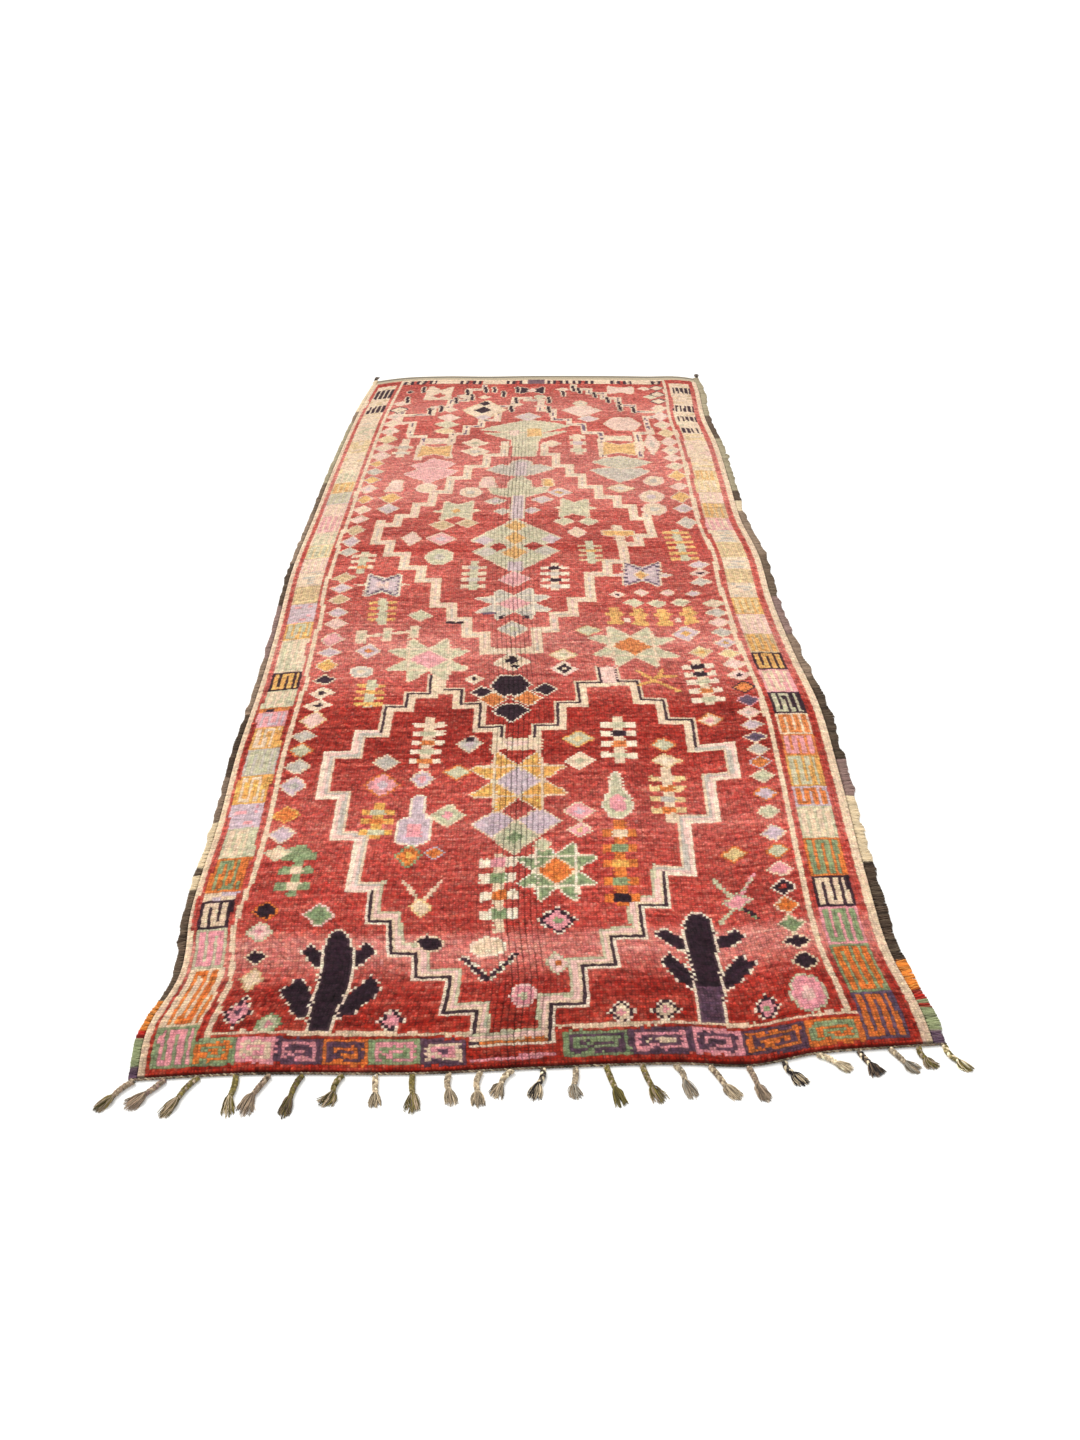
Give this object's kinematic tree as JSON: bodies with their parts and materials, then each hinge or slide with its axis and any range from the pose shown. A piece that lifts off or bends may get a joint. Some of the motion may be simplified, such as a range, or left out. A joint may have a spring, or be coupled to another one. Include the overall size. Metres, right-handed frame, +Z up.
{
  "type": "runner rug",
  "caption": "Long hand-knotted wool village runner lying flat, with overcast selvedges, a flat-woven band at one end and a plaited fringe at the other.",
  "frame": {"origin": "middle of the rug's footprint, on the floor that it lies on", "axes": "+Z up out of the pile, +Y along the rug away from the plaited fringe, +X across it"},
  "size_m": [1.7481, 4.5386, 0.0134],
  "materials": {
    "wool_pile": "knotted wool pile in madder red, cream, aubergine, sage, pink and orange, cut low",
    "selvedge_wool": "overcast wool in blocks of brown, cream, green and orange",
    "flat_weave": "plain flat weave in cream and tan wool with a grey stripe",
    "fringe_wool": "plaited warp ends in olive, grey and cream wool with frayed tips",
    "tuft_wool": "loose dark wool yarn"
  },
  "bodies": {
    "root": {"pile_rug": "wool_pile", "selvedge_left": "selvedge_wool", "selvedge_right": "selvedge_wool", "end_band_far": "flat_weave", "fringe_near": "fringe_wool", "corner_tuft_left": "tuft_wool", "corner_tuft_right": "tuft_wool"}
  },
  "joints": []
}
